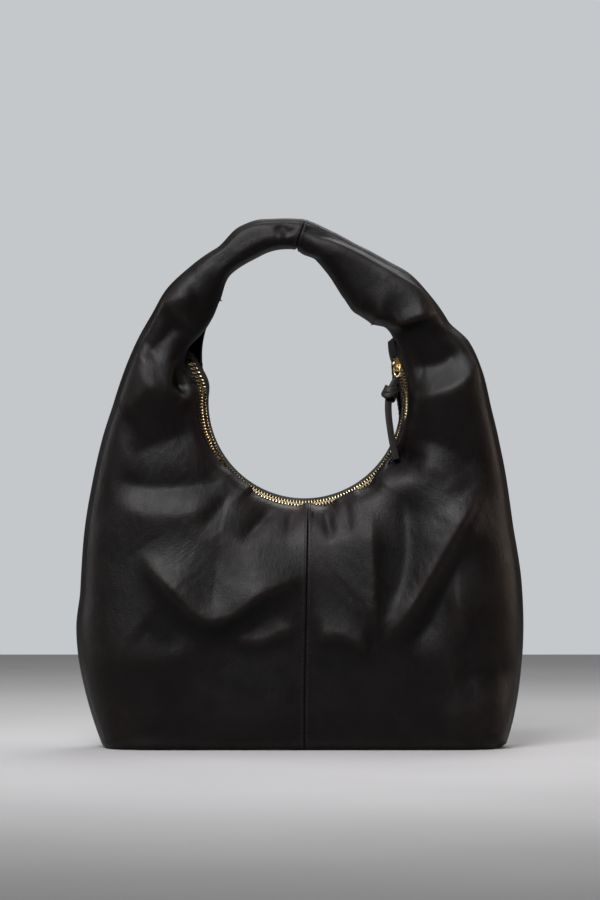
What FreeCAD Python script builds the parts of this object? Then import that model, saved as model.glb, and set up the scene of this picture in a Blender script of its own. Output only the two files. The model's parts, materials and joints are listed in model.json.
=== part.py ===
import FreeCAD, Part
import Sketcher
import math
import os

# Soft leather hobo bag: four leather panels that run up into one looped handle, a flat boxed
# base, a curved metal zip along the mouth, and a slider with a link, a knotted thong and a tail.
#
# Frame: millimetres, +Z up, +X to the right and -Y to the front. The origin is the centre of
# the base's underside. The mouth is a circular arc about an axis along Y, so that the slider's
# travel is a turn about that axis.

Vector = FreeCAD.Vector
doc = FreeCAD.newDocument("hobo_bag")
sheet = doc.addObject("Spreadsheet::Sheet", "sizes")

# ---------------------------------------------------------------- driving dimensions
SIZES = {
    "mouth_radius": 92.0,         # chain's centre line, about the mouth axis
    "mouth_height": 311.0,        # mouth axis above the table
    "cone_angle": 45.0,           # tilt of the zip towards the front
    "base_half_length": 183.0,
    "base_half_depth": 58.0,
    "base_corner_radius": 45.0,
    "base_leather": 2.0,
    "board_thickness": 2.5,
    "board_inset": 8.0,
    "board_margin": 1.0,          # the lining reaches this far past the board
    "lining_thickness": 0.8,
    "leather_thickness": 1.6,
    "layer_gap": 0.3,
    "lining_depth": 4.6,          # from the leather's outer face to the lining's
    "facing_thickness": 1.2,
    "facing_start": 0.04,         # leaves the slider its room behind the leather's edge
    "facing_share": 0.2,          # share of a section that the facing covers
    "mouth_edge_reach": 6.5,      # chain's centre to the leather's folded edge
    "mouth_edge_rise": 2.6,       # leather's outer face above the chain's plane
    "back_edge_reach": 6.7,
    "back_edge_depth": 5.6,
    "tape_half_gap": 2.95,
    "tape_reach": 12.0,
    "tape_bend": 5.2,
    "tape_bend_drop": 4.2,         # the back tape turns down behind the chain
    "tape_thickness": 0.7,
    "zip_closed_end": 21.5,       # slider's angle about the mouth axis, closed
    "zip_tape_start": 33.0,
    "zip_last_tooth": -185.5,
    "zip_open_end": -196.0,
    "tooth_pitch": 2.8,
    "tooth_length": 1.3,
    "tooth_reach": 2.9,
    "tooth_lap": 0.15,
    "tooth_rise": 1.35,
    "slider_half_length": 5.4,
    "slider_nose_half_width": 4.7,
    "slider_tail_half_width": 3.9,
    "slider_half_height": 3.0,
    "slider_plate_inside": 1.8,
    "slider_slot_half": 0.75,
    "slider_cavity_half": 3.2,
    "post_half_width": 0.9,
    "post_start": 3.2,
    "post_end": 4.7,
    "bridge_half_span": 4.3,
    "bridge_leg": 1.6,
    "bridge_window": 2.4,
    "bridge_bar": 1.2,
    "bridge_half_width": 1.3,
    "link_length": 9.5,
    "link_half_width": 3.8,
    "link_wire_radius": 0.8,
    "link_lean": 15.3,            # link hangs this far off the chain's plane
    "thong_radius": 2.5,
    "knot_half_height": 7.0,
    "knot_half_width": 6.2,
    "knot_half_depth": 4.6,
    "stop_length": 2.4,
    "stop_width": 2.2,
    "stop_height": 2.6,
    "stop_across": 1.7,
    "stop_gap_angle": 4.3,        # from the slider's middle to the stop's, about the mouth axis
    "tab_length": 12.0,
    "tab_width": 9.0,
    "tab_thickness": 1.4,
    "tab_rise": 0.65,
    "webbing_half_width": 10.0,
    "webbing_thickness": 2.0,
    "base_section_lead": 46.0,    # first leg of the sections that end on the base's edge
    "base_section_tail": 95.0,    # their last leg
    "base_section_full": 1.18,    # their fullness, as a share of the base's half depth
    "base_section_spill": 1.4,    # how far the last leg's point stands past that fullness
    "mouth_lead": 0.85,           # first leg of the open sections, as a share of the half depth
    "body_fullness": 1.45,        # outer leg of the open sections, as a share of the half depth
    "facing_highest": 30.0,       # height angle where the facings and the lining end
    "lining_overlap": 0.01,       # share of a section between the facing's end and the lining's
    "lining_end": 0.95,
    "pocket_start": 0.45,
    "pocket_end": 0.8,
    "pocket_highest": -62.0,
    "tape_bend_run": 4.0,
    "tape_bend_thinning": 0.3,
    "bottom_stop_gap_angle": 1.6,
    "bottom_stop_span": 2.6,      # in widths of a top stop
    "left_tab_back": 2.5,         # angle between the tapes' open end and their tab's middle
    "slider_chamfer": 1.0,
    "slider_nose_chamfer": 2.0,
    "slider_weld": 0.2,           # how far joined pads reach into each other
}

# The bag's outline by angle above the mouth's horizontal: how far the outer seam stands from
# the mouth axis on the left and right arm, how far the handle's inner seam does, half depth.
OUTLINE = (
    (90.0, 166, 166, 138, 138, 20),
    (75.0, 167, 151, 137, 109, 24),
    (60.0, 161, 149, 131, 97, 30),
    (45.0, 160, 149, 117, 97, 36),
    (30.0, 159, 148, 106, 96, 42),
    (15.0, 163, 159, 97, 96, 47),
    (0.0, 172, 167, 96, 96, 51),
    (-15.0, 193, 184, 96, 96, 55),
    (-30.0, 229, 217, 96, 96, 58),
    (-45.0, 287, 280, 96, 96, 60),
    (-53.0, 327, 323, 96, 96, 60),
)
BASE_ANGLES = (-60.2, -62.0, -65.0, -70.0, -80.0, -90.0)
MOUTH_END = 40.0                  # above this angle the arm closes into a tube
HANDLE_START = 60.0
BACK_EDGE_LEAD = (0.15, 0.99)     # way the back leather leaves the mouth's edge (out, back)
BEZIER_FULL = 4 / 3               # middle poles this far out bring a cubic Bezier to 1
ARC_SHARE = 0.45                  # share of a run that the thong's rounded bend may use
LEFT, RIGHT = -1, 1
FRONT, BACK = -1, 1
ROW_NAMES = ("left_outer", "right_outer", "left_inner", "right_inner", "half_depth")
COUNT_WORDS = ("one", "two", "three", "four", "five", "six", "seven", "eight", "nine", "ten",
               "eleven")


def set_cell(row, alias, value):
    sheet.set("A%d" % row, alias)
    sheet.set("B%d" % row, str(value))
    sheet.setAlias("B%d" % row, alias)


row_number = 1
for alias, value in SIZES.items():
    set_cell(row_number, alias, value)
    row_number += 1
for word, station in zip(COUNT_WORDS, OUTLINE):
    for alias, value in zip(ROW_NAMES, station[1:]):
        set_cell(row_number, alias + "_" + word, value)
        row_number += 1
doc.recompute()


def size(alias):
    return float(getattr(sheet, alias))


RADIUS = size("mouth_radius")
HEIGHT = size("mouth_height")
CONE = math.radians(size("cone_angle"))
AXIS_POINT = Vector(0, 0, HEIGHT)
SEAM = size("layer_gap")


# ---------------------------------------------------------------- the mouth's own frame
def radial(angle):
    turn = math.radians(angle)
    return Vector(math.cos(turn), 0, math.sin(turn))


def chain_frame(angle):
    """Placement at the chain's centre: X along the chain, Y across the tape, Z off its face."""
    out = radial(angle)
    across = out * math.sin(CONE) - Vector(0, 1, 0) * math.cos(CONE)
    normal = out * -math.cos(CONE) - Vector(0, 1, 0) * math.sin(CONE)
    along = across.cross(normal)
    turn = FreeCAD.Rotation(along, across, normal, "XYZ")
    return FreeCAD.Placement(AXIS_POINT + out * RADIUS, turn)


# ---------------------------------------------------------------- sections of the bag
def mixed(a, b, share):
    return tuple(p + (q - p) * share for p, q in zip(a, b))


def mouth_edge(face):
    """(start, direction) of a leather section at the mouth, as (distance out, depth)."""
    sine, cosine = math.sin(CONE), math.cos(CONE)
    if face == FRONT:
        reach, rise = size("mouth_edge_reach"), size("mouth_edge_rise")
        start = (RADIUS + reach * sine - rise * cosine, reach * cosine + rise * sine)
        return start, (sine, cosine)
    return (RADIUS - size("back_edge_reach"), size("back_edge_depth")), BACK_EDGE_LEAD


def base_edge_depth(across):
    """Half depth of the base's rounded outline at a distance from its middle."""
    corner = size("base_corner_radius")
    past = abs(across) - (size("base_half_length") - corner)
    straight = size("base_half_depth") - corner
    if past <= 0:
        return straight + corner
    return straight + math.sqrt(max(corner * corner - past * past, 0.0))


def control_points(angle, side, face):
    """The four Bezier points of one section, from the mouth or inner seam to the outer seam."""
    edge, lead = mouth_edge(face)
    if angle in BASE_ANGLES:
        floor = size("base_leather") + SEAM
        out = (HEIGHT - floor) / math.sin(math.radians(-angle))
        depth = base_edge_depth(out * math.cos(math.radians(angle)))
        full = size("base_section_full") * size("base_half_depth")
        leg = size("base_section_lead")
        first = (edge[0] + lead[0] * leg, edge[1] + lead[1] * leg)
        spilled = depth + (full - depth) * size("base_section_spill")
        return [edge, first, (out - size("base_section_tail"), spilled), (out, depth)]
    for word, station in zip(COUNT_WORDS, OUTLINE):
        if station[0] == angle:
            name = "left" if side == LEFT else "right"
            outer, inner = size(name + "_outer_" + word), size(name + "_inner_" + word)
            half = size("half_depth_" + word)
    if angle < OUTLINE[-1][0]:
        outer, inner, half = corner_reach(), edge[0], size("base_half_depth")
    closing = min(max((angle - MOUTH_END) / (HANDLE_START - MOUTH_END), 0.0), 1.0)
    start = mixed(edge, (inner, SEAM), closing)
    leg = size("mouth_lead") * half
    open_lead = (start[0] + lead[0] * leg, start[1] + lead[1] * leg)
    first = mixed(open_lead, (inner, half * BEZIER_FULL), closing)
    full = mixed((half * size("body_fullness"),), (half * BEZIER_FULL,), closing)[0]
    return [start, first, (outer, full), (outer, SEAM / 2)]


def corner_reach():
    floor = size("base_leather") + SEAM
    return math.hypot(size("base_half_length"), HEIGHT - floor)


CORNER_ANGLE = -math.degrees(math.asin((HEIGHT - size("base_leather") - SEAM) / corner_reach()))


def offset_points(points, depth):
    """The same section moved inwards by a depth. The middle leg of its polygon moves by up to
    four thirds of that, which keeps the curve itself one depth away at its fullest."""
    normals = []
    for p, q in zip(points, points[1:]):
        run = math.hypot(q[0] - p[0], q[1] - p[1])
        normals.append(((q[1] - p[1]) / run, -(q[0] - p[0]) / run))
    moves = [normals[0]]
    for end, middle in ((normals[0], normals[1]), (normals[2], normals[1])):
        along = end[0] * middle[0] + end[1] * middle[1]
        weights = ((1 - along * (BEZIER_FULL - 1)) / (1 + along), BEZIER_FULL / (1 + along))
        moves.append(tuple(weights[0] * e + weights[1] * m for e, m in zip(end, middle)))
    moves.append(normals[2])
    return [(p[0] + move[0] * depth, p[1] + move[1] * depth) for p, move in zip(points, moves)]


def station_curve(angle, side, face, depth, span):
    """One layer's section as a Bezier edge in its own half-plane through the mouth axis."""
    true_angle = angle if side == RIGHT else 180.0 - angle
    out = radial(true_angle)
    if abs(angle) == 90.0:        # the centre seam and the handle's cross seam
        shift = Vector(side * SEAM / 2, 0, 0)
    else:
        shift = Vector(0, 0, 0)
    points = [AXIS_POINT + out * p[0] + Vector(0, face * p[1], 0) + shift
              for p in offset_points(control_points(angle, side, face), depth)]
    curve = Part.BezierCurve()
    curve.setPoles(points)
    curve.segment(span[0], span[1])
    return curve


def layer(angles, face, near, far, span):
    """A closed shell between two depths under the leather's outer face, through its stations."""
    wires = []
    for angle, side in angles:
        curves = [station_curve(angle, side, face, depth, span) for depth in (near, far)]
        starts = [curve.value(curve.FirstParameter) for curve in curves]
        ends = [curve.value(curve.LastParameter) for curve in curves]
        wires.append(Part.Wire([curves[0].toShape(), Part.makeLine(ends[0], ends[1]),
                                curves[1].toShape().reversed(), Part.makeLine(starts[1], starts[0])]))
    return Part.makeLoft(wires, True, True)


def stations(side, highest=90.0, lowest=-90.0):
    angles = [row[0] for row in OUTLINE] + [CORNER_ANGLE] + list(BASE_ANGLES)
    return [(angle, side) for angle in angles if lowest <= angle <= highest]


def both_arms(highest):
    right = stations(RIGHT, highest)
    left = stations(LEFT, highest, lowest=-89.0)
    return left + list(reversed(right))


def feature(label, shape, placement=None):
    part = doc.addObject("Part::Feature", label)
    part.Label = label
    part.Shape = shape
    if placement:
        part.Placement = placement
    return part


parts = {}


def keep(label, part):
    part.Label = label
    parts[label] = part
    return part


# ---------------------------------------------------------------- leather, facings and lining
leather = size("leather_thickness")
for face, face_name in ((FRONT, "front"), (BACK, "back")):
    for side, side_name in ((LEFT, "left"), (RIGHT, "right")):
        label = "%s_%s_panel" % (face_name, side_name)
        keep(label, feature(label, layer(stations(side), face, 0.0, leather, (0.0, 1.0))))
    facing_top = size("lining_depth")
    arms = both_arms(size("facing_highest"))
    facing = layer(arms, face, facing_top, facing_top + size("facing_thickness"),
                   (size("facing_start"), size("facing_share")))
    keep("mouth_facing_" + face_name, feature("mouth_facing_" + face_name, facing))
    lining = layer(arms, face, facing_top, facing_top + size("lining_thickness"),
                   (size("facing_share") + size("lining_overlap"), size("lining_end")))
    keep("lining_" + face_name, feature("lining_" + face_name, lining))

pocket_depth = size("lining_depth") + size("lining_thickness") + SEAM
pocket_angles = (stations(LEFT, size("pocket_highest"), -89.0)
                 + list(reversed(stations(RIGHT, size("pocket_highest")))))
pocket = layer(pocket_angles, BACK, pocket_depth, pocket_depth + size("lining_thickness"),
               (size("pocket_start"), size("pocket_end")))
keep("slip_pocket", feature("slip_pocket", pocket))


# ---------------------------------------------------------------- flat base
def origin_plane(body, role):
    return [item for item in body.Origin.OriginFeatures if item.Role == role][0]


def new_sketch(body, name, role="XY_Plane"):
    drawing = body.newObject("Sketcher::SketchObject", name)
    drawing.AttachmentSupport = (origin_plane(body, role), [""])
    drawing.MapMode = "FlatFace"
    return drawing


def add_polygon(drawing, points):
    """Closed polygon whose corners are each held by two distances from the sketch's origin."""
    first = drawing.GeometryCount
    count = len(points)
    evaluated = [(number(px), number(py)) for px, py in points]
    for i in range(count):
        a, b = evaluated[i], evaluated[(i + 1) % count]
        drawing.addGeometry(Part.LineSegment(Vector(a[0], a[1], 0), Vector(b[0], b[1], 0)), False)
    for i in range(count):
        drawing.addConstraint(Sketcher.Constraint("Coincident", first + i, 2, first + (i + 1) % count, 1))
    for i, (px, py) in enumerate(points):
        for kind, text, value in (("DistanceX", px, evaluated[i][0]), ("DistanceY", py, evaluated[i][1])):
            index = drawing.addConstraint(Sketcher.Constraint(kind, -1, 1, first + i, 1, value))
            drawing.setExpression("Constraints[%d]" % index, text)


def number(text):
    """Value of an expression over the sheet's cells, for a sketch's first drawing."""
    return float(sheet.evalExpression(text.replace("sizes.", "")))


def pad(body, drawing, length, reverse=False):
    thing = body.newObject("PartDesign::Pad", drawing.Name + "_pad")
    thing.Profile = drawing
    thing.setExpression("Length", length)
    thing.Reversed = reverse
    drawing.Visibility = False
    return thing


def rounded_plate(label, inset, low, thickness):
    """A flat plate on the base's outline, drawn in by an inset."""
    body = doc.addObject("PartDesign::Body", label)
    drawing = new_sketch(body, label + "_outline")
    drawing.setExpression(".AttachmentOffset.Base.z", low)
    far = "(sizes.base_half_length - %s)" % inset
    deep = "(sizes.base_half_depth - %s)" % inset
    add_polygon(drawing, [("-" + far, "-" + deep), (far, "-" + deep), (far, deep), ("-" + far, deep)])
    plate = pad(body, drawing, thickness)
    doc.recompute()
    upright = ["Edge%d" % (i + 1) for i, edge in enumerate(plate.Shape.Edges)
               if abs(edge.tangentAt(edge.FirstParameter).z) > 0.9]
    fillet = body.newObject("PartDesign::Fillet", label + "_corners")
    fillet.Base = (plate, upright)
    fillet.setExpression("Radius", "sizes.base_corner_radius - %s" % inset)
    body.Tip = fillet
    return keep(label, body)


rounded_plate("base_panel", "0", "0", "sizes.base_leather")
rounded_plate("base_board", "sizes.board_inset", "sizes.base_leather + sizes.layer_gap",
              "sizes.board_thickness")
rounded_plate("lining_base", "sizes.board_inset - sizes.board_margin",
              "sizes.base_leather + 2 * sizes.layer_gap + sizes.board_thickness",
              "sizes.lining_thickness")


# ---------------------------------------------------------------- handle's inner webbing
def handle_middle(angle, side):
    outer = offset_points(control_points(angle, side, FRONT), 0.0)
    return (outer[0][0] + outer[-1][0]) / 2


def webbing():
    """A woven strip inside the top of the handle, sewn across its cross seam."""
    half, thick = size("webbing_half_width"), size("webbing_thickness")
    wires = []
    for angle, side in ((60.0, LEFT), (75.0, LEFT), (90.0, LEFT), (75.0, RIGHT), (60.0, RIGHT)):
        out = radial(angle if side == RIGHT else 180.0 - angle)
        middle = handle_middle(angle, side)
        corners = [AXIS_POINT + out * (middle + lift * thick / 2) + Vector(0, depth * half, 0)
                   for lift, depth in ((-1, -1), (1, -1), (1, 1), (-1, 1))]
        wires.append(Part.makePolygon(corners + corners[:1]))
    return Part.makeLoft(wires, True, True)


keep("handle_webbing", feature("handle_webbing", webbing()))


# ---------------------------------------------------------------- zip
def zip_tape(label, points):
    """A tape: its section turned about the mouth axis, which the sketch holds as a line."""
    body = doc.addObject("PartDesign::Body", label)
    drawing = new_sketch(body, label + "_section")
    add_polygon(drawing, points)
    sine, cosine = "sin(sizes.cone_angle * 1deg)", "cos(sizes.cone_angle * 1deg)"
    start = ("-sizes.mouth_radius * " + sine, "sizes.mouth_radius * " + cosine)
    end = ("-(sizes.mouth_radius * %s + 10 * %s)" % (sine, cosine),
           "sizes.mouth_radius * %s - 10 * %s" % (cosine, sine))
    line = drawing.addGeometry(Part.LineSegment(Vector(number(start[0]), number(start[1]), 0),
                                                Vector(number(end[0]), number(end[1]), 0)), True)
    for point, pair in ((1, start), (2, end)):
        for kind, text in (("DistanceX", pair[0]), ("DistanceY", pair[1])):
            index = drawing.addConstraint(
                Sketcher.Constraint(kind, -1, 1, line, point, number(text)))
            drawing.setExpression("Constraints[%d]" % index, text)
    turned = body.newObject("PartDesign::Revolution", label + "_turned")
    turned.Profile = drawing
    turned.ReferenceAxis = (drawing, ["Axis0"])
    turned.setExpression("Angle", "sizes.zip_tape_start - sizes.zip_open_end")
    start_frame = chain_frame(size("zip_tape_start"))
    # the sketch's X runs across the tape and its Y off the face
    turn = FreeCAD.Rotation(start_frame.Rotation.multVec(Vector(0, 1, 0)),
                            start_frame.Rotation.multVec(Vector(0, 0, 1)), Vector(), "XYZ")
    body.Placement = FreeCAD.Placement(start_frame.Base, turn)
    return keep(label, body)


half_tape = "sizes.tape_thickness / 2"
zip_tape("zip_tape_front", [("sizes.tape_half_gap", "-" + half_tape), ("sizes.tape_reach", "-" + half_tape),
                            ("sizes.tape_reach", half_tape), ("sizes.tape_half_gap", half_tape)])
bent_end = "-sizes.tape_bend - sizes.tape_bend_run"
zip_tape("zip_tape_back", [
    ("-sizes.tape_half_gap", "-" + half_tape), ("-sizes.tape_half_gap", half_tape),
    ("-sizes.tape_bend", half_tape), (bent_end, half_tape + " - sizes.tape_bend_drop"),
    (bent_end, "-" + half_tape + " - sizes.tape_bend_drop - sizes.tape_bend_thinning"),
    ("-sizes.tape_bend", "-" + half_tape)])


def teeth(face):
    """One row of metal teeth; the other row's teeth stand in its gaps."""
    pitch_angle = math.degrees(size("tooth_pitch") / RADIUS)
    first = size("zip_closed_end") - (0.5 if face == BACK else 0.0) * pitch_angle
    count = int((first - size("zip_last_tooth")) / pitch_angle) + 1
    long, reach, rise = size("tooth_length"), size("tooth_reach"), size("tooth_rise")
    lap = size("tooth_lap")
    solids = []
    for i in range(count):
        corner = Vector(-long / 2, -lap if face == FRONT else -reach, -rise)
        block = Part.makeBox(long, reach + lap, 2 * rise, corner)
        block.Placement = chain_frame(first - i * pitch_angle)
        solids.append(block)
    return Part.makeCompound(solids)


keep("zip_teeth_front", feature("zip_teeth_front", teeth(FRONT)))
keep("zip_teeth_back", feature("zip_teeth_back", teeth(BACK)))


def block_on_chain(label, angle, across, low, lengths):
    """A box whose middle stands on the chain's line at an angle, with its own across and rise."""
    box = doc.addObject("Part::Box", label)
    for side, expression in zip(("Length", "Width", "Height"), lengths):
        box.setExpression(side, expression)
    doc.recompute()
    corner = Vector(-box.Length.Value / 2, across - box.Width.Value / 2, low)
    box.Placement = chain_frame(angle).multiply(FreeCAD.Placement(corner, FreeCAD.Rotation()))
    return box


stop_sizes = ("sizes.stop_length", "sizes.stop_width", "sizes.stop_height")
top_stop_angle = size("zip_closed_end") + size("stop_gap_angle")
top_stops = doc.addObject("Part::Compound", "zip_top_stops")
top_stops.Links = [
    block_on_chain("top_stop_" + name, top_stop_angle, sign * size("stop_across"),
                   -size("stop_height") / 2, stop_sizes)
    for sign, name in ((-1, "back"), (1, "front"))]
keep("zip_top_stops", top_stops)
keep("zip_bottom_stop", block_on_chain(
    "zip_bottom_stop", size("zip_last_tooth") - size("bottom_stop_gap_angle"), 0.0,
    -size("stop_height") / 2,
    ("sizes.stop_length", "sizes.bottom_stop_span * sizes.stop_width", "sizes.stop_height")))
tab_sizes = ("sizes.tab_length", "sizes.tab_width", "sizes.tab_thickness")
left_tab_angle = size("zip_open_end") + size("left_tab_back")
for name, angle in (("right", size("zip_tape_start")), ("left", left_tab_angle)):
    keep("zip_end_tab_" + name,
         block_on_chain("zip_end_tab_" + name, angle, 0.0, size("tab_rise"), tab_sizes))


# ---------------------------------------------------------------- slider
def slider_body():
    """Two plates with turned-in rails, joined by a post at the nose, and a bridge on top.

    Local X runs along the chain towards the meshed teeth, so the nose is at -X."""
    body = doc.addObject("PartDesign::Body", "slider_body")
    nose, tail = "sizes.slider_nose_half_width", "sizes.slider_tail_half_width"
    end, rail = "sizes.slider_half_length", "sizes.slider_cavity_half"
    high, inside, slot = ("sizes.slider_half_height", "sizes.slider_plate_inside",
                          "sizes.slider_slot_half")
    post = new_sketch(body, "slider_post")
    width = "sizes.post_half_width"
    add_polygon(post, [("-sizes.post_end", "-" + width), ("-sizes.post_start", "-" + width),
                       ("-sizes.post_start", width), ("-sizes.post_end", width)])
    pads = [pad(body, post, high)]
    plate = new_sketch(body, "slider_plate")
    plate.setExpression(".AttachmentOffset.Base.z", inside)
    cut, nose_cut = "sizes.slider_chamfer", "sizes.slider_nose_chamfer"
    short, narrow = "%s - %s" % (end, cut), "%s - %s" % (tail, cut)
    add_polygon(plate, [("-" + end, "-%s / 2" % nose), ("-%s + %s" % (end, nose_cut), "-" + nose),
                        (short, "-" + tail), (end, "-(%s)" % narrow), (end, narrow),
                        (short, tail), ("-%s + %s" % (end, nose_cut), nose), ("-" + end, nose + " / 2")])
    pads.append(pad(body, plate, "%s - %s" % (high, inside)))
    for sign, name in (("-", "back"), ("", "front")):
        rails = new_sketch(body, "slider_rail_" + name)
        rails.setExpression(".AttachmentOffset.Base.z", slot)
        add_polygon(rails, [("-" + cut, sign + rail), (short, sign + rail),
                            (short, sign + tail), ("-" + cut, sign + tail)])
        pads.append(pad(body, rails, "%s - %s + sizes.slider_weld" % (inside, slot)))
    mirror = body.newObject("PartDesign::Mirrored", "slider_halves")
    mirror.Originals = pads
    mirror.MirrorPlane = (origin_plane(body, "XY_Plane"), [""])
    body.Tip = mirror
    doc.recompute()
    bridge = new_sketch(body, "slider_bridge", "XZ_Plane")
    span, foot = "sizes.bridge_half_span", high + " - sizes.slider_weld"
    inner, top = "(%s - sizes.bridge_leg)" % span, "(%s + sizes.bridge_window)" % high
    crown = top + " + sizes.bridge_bar"
    add_polygon(bridge, [("-" + span, foot), ("-" + inner, foot), ("-" + inner, top), (inner, top),
                         (inner, foot), (span, foot), (span, top), (inner, crown), ("-" + inner, crown),
                         ("-" + span, top)])
    arch = pad(body, bridge, "2 * sizes.bridge_half_width")
    arch.SideType = "Symmetric"
    body.Tip = arch
    body.Placement = chain_frame(size("zip_closed_end"))
    return keep("slider_body", body)


def link_placement():
    """The link's end bar lies in the bridge's window; its X runs down to its lower bar."""
    lift = size("slider_half_height") + size("bridge_window") / 2
    lean = FreeCAD.Rotation(Vector(0, 1, 0), -size("link_lean"))
    return chain_frame(size("zip_closed_end")).multiply(FreeCAD.Placement(Vector(0, 0, lift), lean))


def pull_link():
    """An oval ring of round wire: two half rings and two straight sides."""
    half, straight = "sizes.link_half_width", "(sizes.link_length - 2 * sizes.link_half_width)"
    pieces = []
    for name, turn, place in (("upper", 90, half), ("lower", -90, half + " + " + straight)):
        ring = doc.addObject("Part::Torus", "link_" + name)
        ring.setExpression("Radius1", half)
        ring.setExpression("Radius2", "sizes.link_wire_radius")
        ring.Angle3 = 180
        ring.Placement.Rotation = FreeCAD.Rotation(Vector(0, 0, 1), turn)
        ring.setExpression(".Placement.Base.x", place)
        pieces.append(ring)
    for name, sign in (("back", "-"), ("front", "")):
        side = doc.addObject("Part::Cylinder", "link_side_" + name)
        side.setExpression("Radius", "sizes.link_wire_radius")
        side.setExpression("Height", straight)
        side.Placement.Rotation = FreeCAD.Rotation(Vector(0, 1, 0), 90)
        side.setExpression(".Placement.Base.x", half)
        side.setExpression(".Placement.Base.y", sign + half)
        pieces.append(side)
    ring = doc.addObject("Part::MultiFuse", "pull_link")
    ring.Shapes = pieces
    ring.Placement = link_placement()
    return keep("pull_link", ring)


# The thong's route, from the link's lower bar down to its cut end.
THONG_ROUTE = (
    Vector(83.2, -5.6, 332.4),
    Vector(78.6, -8.0, 325.0),
    Vector(75.6, -10.5, 315.0),
    Vector(75.2, -12.6, 302.0),
    Vector(77.0, -14.6, 286.5),
    Vector(79.6, -16.0, 271.5),
    Vector(82.4, -16.8, 259.5),
)


def tube_path(route):
    """Straight runs joined by tangent arcs, each as large as its two runs allow."""
    edges, reached = [], route[0]
    for before, point, after in zip(route, route[1:], route[2:]):
        into, out = (point - before), (after - point)
        turn = into.getAngle(out)
        radius = ARC_SHARE * min(into.Length, out.Length) / math.tan(turn / 2)
        print("thong arc radius %.1f mm, turn %.0f degrees" % (radius, math.degrees(turn)))
        back = radius * math.tan(turn / 2)
        into.normalize()
        out.normalize()
        start, end = point - into * back, point + out * back
        inward = (out - into).normalize()
        middle = point + inward * (radius / math.cos(turn / 2) - radius)
        edges.append(Part.LineSegment(reached, start).toShape())
        edges.append(Part.Arc(start, middle, end).toShape())
        reached = end
    edges.append(Part.LineSegment(reached, route[-1]).toShape())
    return Part.Wire(edges)


def pull_thong():
    path = tube_path(THONG_ROUTE)
    radius = size("thong_radius")
    ring = Part.makeCircle(radius, THONG_ROUTE[0], THONG_ROUTE[1] - THONG_ROUTE[0])
    tube = path.makePipeShell([Part.Wire([ring])], True, False)
    expected = math.pi * radius * radius * path.Length
    print("thong length %.1f mm, volume %.0f of %.0f mm3" % (path.Length, tube.Volume, expected))
    return keep("pull_thong", feature("pull_thong", tube))


def pull_knot():
    knot = doc.addObject("Part::Ellipsoid", "pull_knot")
    knot.setExpression("Radius1", "sizes.knot_half_height")
    knot.setExpression("Radius2", "sizes.knot_half_width")
    knot.setExpression("Radius3", "sizes.knot_half_depth")
    knot.Angle1, knot.Angle2 = -90, 90
    slope = THONG_ROUTE[2] - THONG_ROUTE[1]
    knot.Placement = FreeCAD.Placement((THONG_ROUTE[1] + THONG_ROUTE[2]) * 0.5,
                                       FreeCAD.Rotation(Vector(0, 0, -1), slope))
    return keep("pull_knot", knot)


slider_body()
pull_link()
pull_thong()
pull_knot()

# ---------------------------------------------------------------- checks and files
doc.recompute()
for item in doc.Objects:
    if "Invalid" in item.State or "Error" in item.State:
        raise RuntimeError("%s failed: %s" % (item.Label, item.State))
for label, part in parts.items():
    if part.Shape.isNull() or not part.Shape.isValid():
        raise RuntimeError("%s has no valid shape" % label)
    print("%-20s %3d solids %9.0f mm3" % (label, len(part.Shape.Solids), part.Shape.Volume))
link_bar = link_placement().multVec(Vector(size("link_length"), 0, 0))
print("link pivot", link_placement().Base, "axis", chain_frame(size("zip_closed_end")).Rotation.multVec(
    Vector(0, -1, 0)), "lower bar", link_bar)

os.makedirs("parts", exist_ok=True)
for label, part in parts.items():
    part.Shape.exportStep("parts/%s.step" % label)
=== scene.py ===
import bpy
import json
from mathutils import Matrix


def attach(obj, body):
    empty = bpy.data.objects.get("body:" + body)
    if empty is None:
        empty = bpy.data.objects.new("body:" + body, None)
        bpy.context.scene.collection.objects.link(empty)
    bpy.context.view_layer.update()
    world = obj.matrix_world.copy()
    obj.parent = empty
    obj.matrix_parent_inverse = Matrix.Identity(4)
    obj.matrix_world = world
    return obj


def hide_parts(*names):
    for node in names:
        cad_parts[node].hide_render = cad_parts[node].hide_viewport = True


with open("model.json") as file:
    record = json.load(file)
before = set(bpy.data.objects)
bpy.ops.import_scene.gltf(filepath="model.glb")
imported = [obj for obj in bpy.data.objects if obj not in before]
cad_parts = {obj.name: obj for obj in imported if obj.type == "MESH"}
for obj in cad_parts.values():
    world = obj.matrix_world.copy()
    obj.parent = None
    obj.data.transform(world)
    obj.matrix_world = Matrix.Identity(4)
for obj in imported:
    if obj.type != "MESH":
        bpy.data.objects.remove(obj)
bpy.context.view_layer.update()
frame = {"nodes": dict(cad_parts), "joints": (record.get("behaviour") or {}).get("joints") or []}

import json
import math

import bpy
import numpy as np
from mathutils import Vector

# ---- driving sizes, in millimetres and degrees
METRES = 0.001
joint_at = {joint["name"]: joint["pos_m"] for joint in frame["joints"]}
MOUTH_HEIGHT = joint_at["slider_travel"][2] / METRES
CHAIN_RADIUS = 92.0
CHAIN_CONE = 45.0
SLIDER_ANGLE = 21.5
TRAVEL_END = -182.5
CHAIN_START = 36.0
CHAIN_END = -204.0
FLARE_RADIUS = 17.0
FLARE_DEGREES = 17
FLARE_TWIST = 27.0
TWIST_DEGREES = 14
START_FLARE = 0.05
TOOTH_PITCH = 2.8
LEATHER_THICKNESS = 1.6
HEM_DEPTH = 2.2
HEM_ROLL_STEPS = 5
HEM_WIDTH = 10.0
BASE_ROUND = 3.0
BASE_SEAT = 0.6
SIDE_ROUNDNESS = 2.2
PANEL_COLUMNS = 340
PANEL_ROWS = 96
ROW_SMOOTHING = 8
CLOTH_THICKNESS = 0.7
WEBBING_REACH = 55.0
WEBBING_HALF_WIDTH = 8.0
WEBBING_THICKNESS = 1.2
POCKET_INSET = 9.5
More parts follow.
